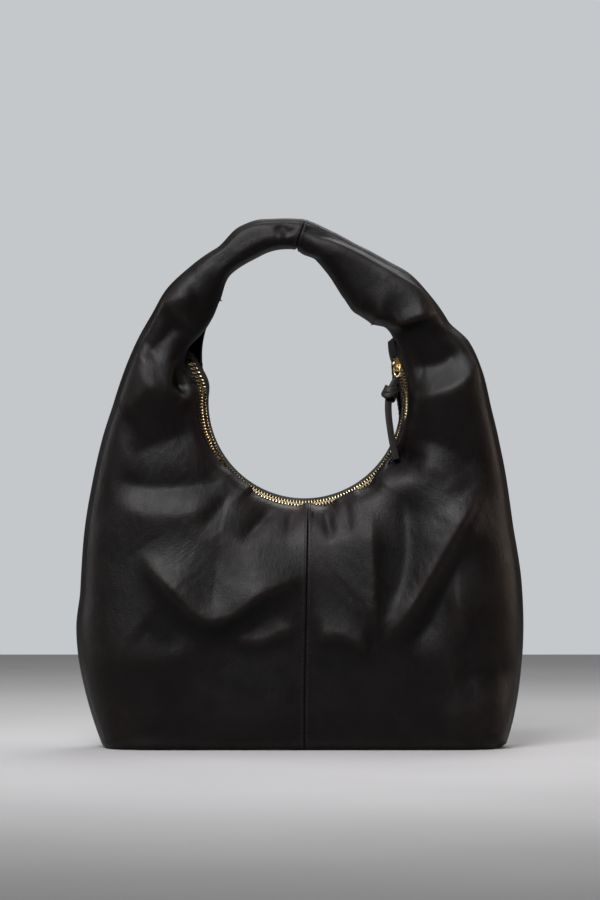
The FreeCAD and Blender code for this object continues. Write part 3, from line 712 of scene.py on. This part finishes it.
def inside_strip(name, face, node, material, start, end, depth, every):
    """A layer inside the leather: a sheet between two distances from the mouth's edge, below the handle."""
    parts, faces, count = [], [], 0
    for side in (LEFT, RIGHT):
        grid = grids[side, face]
        normal = outward_normals(grid, face)
        length = row_lengths(grid)
        columns = [i for i in range(0, len(grid), every) if length[i, -1] > SHORTEST_COLUMN]
        if columns[-1] != len(grid) - 1:
            columns.append(len(grid) - 1)
        rows = []
        for i in columns:
            far = min(end, length[i, -1] - STRIP_END_GAP)
            spots = np.linspace(min(start, far - 4), far, STRIP_ROWS)
            inwards = depth * at_length(spots, length[i], normal[i])
            rows.append(at_length(spots, length[i], grid[i]) - inwards)
        parts.append(np.array(rows).reshape(-1, 3))
        flip = side * face > 0
        faces += [tuple(k + count for k in f) for f in grid_faces(len(columns), STRIP_ROWS, flip)]
        count += len(parts[-1])
    piece = make_mesh(name, np.vstack(parts), faces, material)
    thicken(piece, CLOTH_THICKNESS)
    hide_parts(node)


for side in (LEFT, RIGHT):
    for face in (FRONT, BACK):
        build_panel(side, face)
for face in (FRONT, BACK):
    layer = FACE_NAMES[face]
    facing, lining = f"mouth_facing_{layer}", f"lining_{layer}"
    inside_strip(facing + "_leather", face, facing, FACING, 2.0, 34, 4.8, 2)
    inside_strip(lining + "_cloth", face, lining, LINING, 30, 900, 6.4, 6)


def slip_pocket():
    """A flat pocket sewn to the back of the lining, inside the bag."""
    heights = np.linspace(*POCKET_HEIGHTS, POCKET_ROWS)
    reaches = np.linspace(*POCKET_HALF_WIDTHS, POCKET_ROWS)
    points = np.array([
        (share * reach, z)
        for z, reach in zip(heights, reaches) for share in np.linspace(-1, 1, POCKET_COLUMNS)
    ])
    angle = np.degrees(np.arctan2(points[:, 1] - MOUTH_HEIGHT, np.abs(points[:, 0])))
    width = np.where(
        points[:, 0] < 0, outer_radius(LEFT, angle) - edge[BACK][LEFT](angle),
        outer_radius(RIGHT, angle) - edge[BACK][RIGHT](angle),
    )
    folds = np.minimum(fold_height(points, BACK), 0)
    depth = plump(points, BACK, angle, width)[0] + folds - POCKET_INSET
    cloth = np.stack([points[:, 0], depth, points[:, 1]], -1)
    faces = grid_faces(POCKET_ROWS, POCKET_COLUMNS)
    piece = make_mesh("slip_pocket_cloth", cloth, faces, LINING)
    thicken(piece, CLOTH_THICKNESS)
    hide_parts("slip_pocket")


slip_pocket()


def base_rims():
    """The panels' lower edges, front and back, from left to right."""
    rims = {}
    for face in (FRONT, BACK):
        ends = np.vstack([grids[side, face][:, -1] for side in (LEFT, RIGHT)])
        line = ends[ends[:, 2] < 2 * BASE_SEAT]
        rims[face] = line[np.argsort(line[:, 0])]
    return rims


PLATE_COLUMNS, PLATE_ROWS = 120, 31
RIM_FROM, RIM_WIDTH = 0.93, 0.07


def sine_steps(count):
    """Steps from -1 to 1 that get closer towards both ends."""
    return np.sin(np.linspace(-math.pi / 2, math.pi / 2, count))


def base_plate(name, node, material, inset, height, thickness, rim_lift):
    """A plate that fills the bag's foot: its outline follows the panels' lower edges."""
    rims = base_rims()
    first, last = rims[FRONT][0, 0] + inset, rims[FRONT][-1, 0] - inset
    xs = (first + last) / 2 + (last - first) / 2 * sine_steps(PLATE_COLUMNS)
    points = []
    for x in xs:
        near = np.interp(x, rims[FRONT][:, 0], rims[FRONT][:, 1]) + inset
        far = np.interp(x, rims[BACK][:, 0], rims[BACK][:, 1]) - inset
        middle, half = (near + far) / 2, max(far - near, 0.2) / 2
        for share in sine_steps(PLATE_ROWS):
            rim = max(0.0, abs(share) - RIM_FROM) / RIM_WIDTH
            points.append((x, middle + half * share, height + rim_lift * rim * rim))
    faces = grid_faces(PLATE_COLUMNS, PLATE_ROWS, True)
    piece = make_mesh(name, points, faces, material)
    thicken(piece, thickness)
    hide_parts(node)
    return piece


foot = base_plate(
    "base_panel_leather", "base_panel", LEATHER, 0.8, 0.12, LEATHER_THICKNESS, 0.4,
)
set_worn(foot, [0.25] * len(foot.data.vertices))
base_plate("base_board_stiff", "base_board", BOARD, 9, 2.3, 1.8, 0)
base_plate("lining_base_cloth", "lining_base", LINING, 10, 4.6, 0.7, 1.5)


def handle_strip():
    """The woven strip inside the handle, across its top seam."""
    points, columns, rows = [], 25, 9
    for side in (LEFT, RIGHT):
        front, back = grids[side, FRONT], grids[side, BACK]
        length = length_along(front[:, 40])
        centre = (front[:, [8, -9]].mean(1) + back[:, [8, -9]].mean(1)) / 2
        spots = np.linspace(0, WEBBING_REACH, columns)[1:]
        if side == LEFT:
            spots = np.linspace(WEBBING_REACH, 0, columns)
        for x, y, z in at_length(spots, length, centre):
            for share in np.linspace(-1, 1, rows):
                points.append((x, y + share * WEBBING_HALF_WIDTH, z + 0.12 * math.cos(share * 9)))
    faces = grid_faces(2 * columns - 1, rows)
    piece = make_mesh("handle_webbing_strip", points, faces, WEBBING)
    thicken(piece, WEBBING_THICKNESS)
    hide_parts("handle_webbing")


handle_strip()


# ---- the zip
def chain_frame(angle):
    """Place, along, across and outward directions of the zip's middle line at an angle about the mouth."""
    a = math.radians(angle)
    past = max(0.0, TRAVEL_END - angle)
    lift = FLARE_RADIUS * (past / FLARE_DEGREES) ** 2
    lift += START_FLARE * max(0.0, angle - SLIDER_ANGLE - 3) ** 2
    cone = math.radians(CHAIN_CONE + FLARE_TWIST * float(ease(past / TWIST_DEGREES)))
    radial = Vector((math.cos(a), 0, math.sin(a)))
    across = radial * math.sin(cone) + Vector((0, -math.cos(cone), 0))
    normal = radial * -math.cos(cone) + Vector((0, -math.sin(cone), 0))
    return Vector((0, 0, MOUTH_HEIGHT)) + radial * (CHAIN_RADIUS + lift), across.cross(normal), across, normal


def on_chain(angle, along, across, lift):
    place, direction, side, normal = chain_frame(angle)
    return place + direction * along + side * across + normal * lift


TAPE_SECTION = [(2.3, 0.55), (2.7, 0.85), (3.3, 0.8), (3.7, 0.42), (5.2, 0.36), (8.5, 0.36), (11.6, 0.34),
                (12.0, 0.0), (11.6, -0.34), (8.5, -0.36), (5.2, -0.36), (3.7, -0.42), (3.3, -0.8),
                (2.7, -0.85), (2.3, -0.55)]
TAPE_STATIONS = 300
TAPE_BEND_FROM = 4.6


def facing_in(rings, count):
    """Faces and caps of a tube whose rings run the other way round."""
    faces = [(a, d, c, b) for a, b, c, d in tube_faces(rings, count)]
    return faces + [cap[::-1] for cap in end_caps(rings, count)]


def tape(name, node, hand, bend):
    """A woven tape with a thick corded edge beside the teeth and a flat hem edge."""
    points = []
    for angle in np.linspace(CHAIN_START, CHAIN_END, TAPE_STATIONS):
        for across, lift in TAPE_SECTION:
            drop = bend * max(0.0, across - TAPE_BEND_FROM)
            points.append(on_chain(float(angle), 0, hand * across, lift - drop))
    faces = facing_in(TAPE_STATIONS, len(TAPE_SECTION))
    piece = make_mesh(name, points, faces, TAPE, smooth=False)
    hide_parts(node)


tape("zip_tape_front_woven", "zip_tape_front", 1, 0.12)
tape("zip_tape_back_woven", "zip_tape_back", -1, 0.62)

TOOTH_SECTION = [(-0.6, -0.5), (-0.6, 0.5), (-0.4, 0.72), (0.4, 0.72), (0.6, 0.5), (0.6, -0.5), (0.4, -0.72),
                 (-0.4, -0.72)]
# Each station of a tooth: its place across the chain, then how long and how high the tooth is there.
TOOTH_STATIONS = [(4.2, 0.6, 1.2), (4.0, 0.95, 1.5), (2.5, 1.0, 1.5), (1.8, 0.85, 1.25), (0.5, 0.65, 1.05),
                  (-0.3, 0.7, 1.05), (-0.8, 0.55, 0.9), (-1.0, 0.3, 0.6)]
FIRST_TOOTH_GAP, LAST_TOOTH_GAP = 3.4, 4.0


def teeth(name, node, hand):
    """Cast metal teeth: a clasp round the tape's cord, a neck and a rounded nib."""
    points, faces = [], []
    step = math.degrees(TOOTH_PITCH / CHAIN_RADIUS)
    angle = SLIDER_ANGLE + FIRST_TOOTH_GAP - (0.5 * step if hand < 0 else 0)
    while angle > CHAIN_END + LAST_TOOTH_GAP:
        first = len(points)
        for across, long_scale, high_scale in TOOTH_STATIONS:
            for along, lift in TOOTH_SECTION:
                points.append(on_chain(angle, along * long_scale, hand * across, lift * high_scale))
        rings, count = len(TOOTH_STATIONS), len(TOOTH_SECTION)
        tooth = tube_faces(rings, count, first) + end_caps(rings, count, first)
        faces += tooth if hand > 0 else [face[::-1] for face in tooth]
        angle -= step
    piece = make_mesh(name, points, faces, GOLD, smooth=False)
    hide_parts(node)


teeth("zip_teeth_front_metal", "zip_teeth_front", 1)
teeth("zip_teeth_back_metal", "zip_teeth_back", -1)


TAB_POINTS = 32
# Each level of a tab: its size in share of the whole, then its height in share of the thickness.
TAB_LEVELS = [(1.0, 0.0), (1.0, 0.55), (0.93, 0.9), (0.7, 1.0), (0.35, 1.04), (0.05, 1.05)]


def end_tab(name, node, middle_angle, half_long, half_wide, thick):
    """A folded leather tab over the tapes' ends, domed, with rounded corners."""
    around = []
    for k in range(TAB_POINTS):
        t = 2 * math.pi * k / TAB_POINTS
        c, s = math.cos(t), math.sin(t)
        around.append((math.copysign(abs(c) ** 0.45, c), math.copysign(abs(s) ** 0.45, s)))
    points = []
    degrees_per_mm = math.degrees(1 / CHAIN_RADIUS)
    for scale, lift in TAB_LEVELS:
        for u, v in around:
            angle = middle_angle - u * scale * half_long * degrees_per_mm
            points.append(on_chain(angle, 0, v * scale * half_wide, 0.75 + lift * thick))
    piece = make_mesh(name, points, facing_in(len(TAB_LEVELS), TAB_POINTS), THONG)
    set_worn(piece, [0.5 if i // TAB_POINTS in (1, 2) else 0.12 for i in range(len(points))])
    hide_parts(node)


end_tab("zip_end_tab_right_leather", "zip_end_tab_right", 31.5, 7.5, 3.6, 1.2)
end_tab("zip_end_tab_left_leather", "zip_end_tab_left", CHAIN_END, 5.5, 5.2, 1.5)


# ---- the pull
THONG_ROUTE = [(83.2, -5.6, 332.4), (78.6, -8.0, 325.0), (75.6, -10.5, 315.0), (75.2, -12.6, 302.0),
               (77.0, -14.6, 286.5), (79.6, -16.0, 271.5), (82.4, -16.8, 259.5)]
THONG_WIDTH = 6.0
THONG_THICKNESS = 1.3


def thong_line():
    """Points along the pull's centreline, a spline over the route."""
    curve = bpy.data.curves.new("thong_route", "CURVE")
    curve.dimensions = "3D"
    curve.resolution_u = 24
    spline = curve.splines.new("NURBS")
    spline.points.add(len(THONG_ROUTE) - 1)
    for point, place in zip(spline.points, THONG_ROUTE):
        point.co = (*(Vector(place) * METRES), 1)
    spline.order_u = 3
    spline.use_endpoint_u = True
    holder = bpy.data.objects.new("thong_route", curve)
    bpy.context.scene.collection.objects.link(holder)
    bpy.context.view_layer.update()
    mesh = bpy.data.meshes.new_from_object(holder)
    places = [v.co.copy() for v in mesh.vertices]
    bpy.data.objects.remove(holder)
    bpy.data.meshes.remove(mesh)
    return places


STRIP_STATIONS = 90
STRIP_SECTION = [(-1, -0.6), (-1, 0.6), (-0.86, 1), (0, 1.1), (0.86, 1), (1, 0.6), (1, -0.6), (0.86, -1),
                 (0, -0.9), (-0.86, -1)]
STRIP_CORNERS = (1, 2, 4, 5)


def strip_along(line, end, offset, wander, seed):
    """A flat leather strip along the line, to that share of it: its section is a rounded bar."""
    length = np.concatenate([[0], np.cumsum([(b - a).length for a, b in zip(line, line[1:])])]) / METRES
    total = length[-1]
    coordinates = np.array(line) / METRES
    spots = np.linspace(0, end * total, STRIP_STATIONS)
    middle = at_length(spots, length, coordinates)
    for _ in range(4):
        middle[1:-1] = (middle[:-2] + middle[1:-1] * 2 + middle[2:]) / 4
    points = []
    for i, spot in enumerate(middle):
        ahead = Vector(middle[min(i + 1, STRIP_STATIONS - 1)] - middle[max(i - 1, 0)]).normalized()
        facing = Vector((0.10, -1, 0)) + Vector((wander * math.sin(i / 17 + seed), 0, 0))
        outward = (facing - ahead * facing.dot(ahead)).normalized()
        across = ahead.cross(outward)
        for u, v in STRIP_SECTION:
            place = Vector(spot) + across * (u * 0.5 * THONG_WIDTH)
            points.append(place + outward * (offset + v * THONG_THICKNESS / 2))
    count = len(STRIP_SECTION)
    return points, tube_faces(STRIP_STATIONS, count) + end_caps(STRIP_STATIONS, count)


def join_parts(parts):
    points, faces = [], []
    for part_points, part_faces in parts:
        faces += [tuple(k + len(points) for k in f) for f in part_faces]
        points += list(part_points)
    return points, faces


def build_thong():
    line = thong_line()
    strips = [
        strip_along(line, 1.0, 0.75, 0.05, 0.0),
        strip_along(line, 0.965, -0.75, 0.22, 1.3),
    ]
    points, faces = join_parts(strips)
    piece = make_mesh("pull_thong_strips", points, faces, THONG, "thong")
    count = len(STRIP_SECTION)
    set_worn(piece, [0.8 if i % count in STRIP_CORNERS else 0.15 for i in range(len(points))])
    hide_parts("pull_thong")
    return piece, line


# Each turn of the knot: its place along the pull, lean, half width, half depth and the strip's width.
KNOT_TURNS = [(-3.4, 0.30, 5.4, 4.2, 5.6), (2.6, -0.42, 5.9, 4.5, 5.8), (-0.3, 0.85, 6.4, 5.0, 5.2)]
KNOT_SECTION = [(-1, 0), (-0.85, 0.55), (0, 0.75), (0.85, 0.55), (1, 0), (0.8, -0.5), (0, -0.6), (-0.8, -0.5)]
KNOT_STATIONS = 48


def build_knot():
    """An overhand knot: three turns of the strip wrapped round each other."""
    middle = Vector(THONG_ROUTE[1]) * 0.5 + Vector(THONG_ROUTE[2]) * 0.5
    down = (Vector(THONG_ROUTE[2]) - Vector(THONG_ROUTE[1])).normalized()
    outward = (Vector((0, -1, 0)) - down * Vector((0, -1, 0)).dot(down)).normalized()
    across = down.cross(outward)
    points, faces, worn = [], [], []
    for shift, lean, wide, deep, band in KNOT_TURNS:
        first = len(points)
        for i in range(KNOT_STATIONS):
            t = 2 * math.pi * i / KNOT_STATIONS
            rise = lean * wide * math.sin(t + 0.6)
            radial = across * (math.cos(t) * wide) + outward * (math.sin(t) * deep)
            centre = middle + radial + down * (shift + rise)
            out = radial.normalized()
            pinch = 1 - 0.22 * math.cos(2 * t + shift)
            for u, v in KNOT_SECTION:
                points.append(centre + down * (u * band / 2 * pinch) + out * (v * 1.5))
                worn.append(0.7 if v > 0.5 else 0.1)
        faces += tube_faces(KNOT_STATIONS, len(KNOT_SECTION), first, wrap=True)
    piece = make_mesh("pull_knot_wraps", points, faces, THONG, "thong")
    set_worn(piece, worn)
    smooth = piece.modifiers.new("soft", "SUBSURF")
    smooth.levels = smooth.render_levels = 1
    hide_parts("pull_knot")
    return piece


thong, thong_path = build_thong()
knot = build_knot()


# ---- stitches
# Each station of a stitch: its share of the length, then its share of the full radius.
STITCH_STATIONS = [(0, 0.35), (0.18, 0.9), (0.5, 1.0), (0.82, 0.9), (1, 0.35)]
STITCH_SIDES = 6
SEAM_COLUMNS = 40


def stitch_row(name, line, normals, length, gap, radius):
    """Short raised stitches along a line of points that lies on the leather."""
    along = length_along(line)
    points, faces = [], []
    start = 1.0
    while start + length < along[-1]:
        first = len(points)
        for share, scale in STITCH_STATIONS:
            at = start + share * length
            place = at_length(at, along, line)
            normal = Vector(at_length(at, along, normals)).normalized()
            ahead = Vector(at_length(at + 0.4, along, line) - place).normalized()
            across = ahead.cross(normal)
            lift = 0.10 + 0.22 * math.sin(math.pi * share)
            for j in range(STITCH_SIDES):
                t = 2 * math.pi * j / STITCH_SIDES
                aside = across * (math.cos(t) * radius * scale)
                points.append(Vector(place) + (aside + normal * (math.sin(t) * radius * scale + lift)))
        rings = len(STITCH_STATIONS)
        faces += tube_faces(rings, STITCH_SIDES, first) + end_caps(rings, STITCH_SIDES, first)
        start += length + gap
    make_mesh(name, points, faces, THREAD)


def seam_line(side, face, offset, at_top):
    """Points on the leather at a fixed distance from a middle seam."""
    grid = grids[side, face]
    normal = outward_normals(grid, face)
    columns = (grid if at_top else grid[::-1])[:SEAM_COLUMNS]
    normals = (normal if at_top else normal[::-1])[:SEAM_COLUMNS]
    line, direction = [], []
    for j in range(columns.shape[1]):
        away = length_along(columns[:, j])
        if away[-1] < offset:
            continue
        line.append(at_length(offset, away, columns[:, j]))
        direction.append(at_length(offset, away, normals[:, j]))
    return np.array(line), np.array(direction)


def edge_line(side, face, offset, handle_share):
    """Points on the leather at a fixed distance from the mouth's edge, without the handle's share of it."""
    grid = grids[side, face]
    normal = outward_normals(grid, face)
    line, direction = [], []
    for i in range(int(len(grid) * handle_share), len(grid)):
        away = length_along(grid[i])
        line.append(at_length(offset, away, grid[i]))
        direction.append(at_length(offset, away, normal[i]))
    return np.array(line), np.array(direction)


for face in (FRONT, BACK):
    for side in (LEFT, RIGHT):
        where = f"{FACE_NAMES[face]}_{SIDE_NAMES[side]}"
        stitch_row(f"stitches_middle_{where}", *seam_line(side, face, 3.0, False), 3.4, 1.2, 0.32)
        stitch_row(f"stitches_top_{where}", *seam_line(side, face, 3.0, True), 3.0, 1.2, 0.3)
        stitch_row(f"stitches_mouth_{where}", *edge_line(side, face, 3.2, 0.30), 3.2, 1.1, 0.26)


# ---- what stays from the CAD frame
for node in ("slider_body", "pull_link", "zip_top_stops", "zip_bottom_stop"):
    cad_materials = frame["nodes"][node].data.materials
    cad_materials.clear()
    cad_materials.append(GOLD)


# ---- floor, light and camera
def floor():
    """A pale table top: it ends where the photograph's does, behind the bag."""
    left, right, near, far = -2.6, 2.6, -3.4, 1.9
    mesh = bpy.data.meshes.new("floor")
    corners = [(left, near, 0), (right, near, 0), (right, far, 0), (left, far, 0)]
    mesh.from_pydata(corners, [], [(0, 1, 2, 3)])
    material, nodes, links, shader = new_material("pale_floor", (0.25, 0.25, 0.252), 0.8)
    place = object_place(nodes, links)
    tone = spread(nodes, links, noise_of(nodes, links, place, 3, 2), 0.3, 0.7, 0, 1)
    pale = blend_colors(nodes, links, tone, (0.24, 0.24, 0.242), (0.26, 0.26, 0.262))
    links.new(pale, shader.inputs["Base Color"])
    mesh.materials.append(material)
    piece = bpy.data.objects.new("floor", mesh)
    bpy.context.scene.collection.objects.link(piece)


def soft_light(name, place, aim, width, height, power, color=(1, 1, 1), spread=150):
    data = bpy.data.lights.new(name, "AREA")
    data.shape, data.size, data.size_y, data.energy, data.color = "RECTANGLE", width, height, power, color
    data.spread = math.radians(spread)
    piece = bpy.data.objects.new(name, data)
    bpy.context.scene.collection.objects.link(piece)
    piece.location = place
    piece.rotation_euler = (Vector(aim) - Vector(place)).to_track_quat("-Z", "Y").to_euler()


floor()
BAG_MIDDLE = (-0.004, 0.0, 0.268)
soft_light("key", (-0.6, -1.9, 2.05), BAG_MIDDLE, 1.4, 0.8, 15.5, (0.98, 0.96, 1.0), spread=55)
soft_light("overhead", (0, 0, 3.2), (0, 0, 0), 5.0, 5.0, 85)
soft_light("left_side", (-2.4, 0.5, 0.9), BAG_MIDDLE, 0.8, 1.4, 3, spread=60)
soft_light("right_side", (2.3, 0.2, 0.8), BAG_MIDDLE, 0.8, 1.4, 4, (1.0, 0.82, 0.7), spread=60)
soft_light("behind", (0.5, 1.5, 2.4), BAG_MIDDLE, 1.6, 1.0, 6, spread=60)
# The background is pale where the camera sees it, and adds hardly any light of its own to the bag.
BACKGROUND_LIGHT, BACKGROUND_SEEN = 0.02, 0.62
world = bpy.data.worlds.new("studio")
world.use_nodes = True
sky, sky_links = world.node_tree.nodes, world.node_tree.links
sky["Background"].inputs["Color"].default_value = (0.9, 0.93, 0.96, 1)
seen = sky.new("ShaderNodeLightPath")
strength = sky.new("ShaderNodeMapRange")
strength.inputs["To Min"].default_value = BACKGROUND_LIGHT
strength.inputs["To Max"].default_value = BACKGROUND_SEEN
sky_links.new(seen.outputs["Is Camera Ray"], strength.inputs["Value"])
sky_links.new(strength.outputs["Result"], sky["Background"].inputs["Strength"])
bpy.context.scene.world = world
bpy.context.scene.view_settings.view_transform = "Standard"

CAMERA_DISTANCE = 4.2
FRAME_HEIGHT = 0.812
SENSOR = 36.0
camera_data = bpy.data.cameras.new("camera")
camera_data.sensor_width = SENSOR
camera_data.lens = SENSOR * CAMERA_DISTANCE / FRAME_HEIGHT
camera = bpy.data.objects.new("camera", camera_data)
camera.location = (BAG_MIDDLE[0], -CAMERA_DISTANCE, BAG_MIDDLE[2])
camera.rotation_euler = (math.pi / 2, 0, 0)
bpy.context.scene.collection.objects.link(camera)
bpy.context.scene.camera = camera
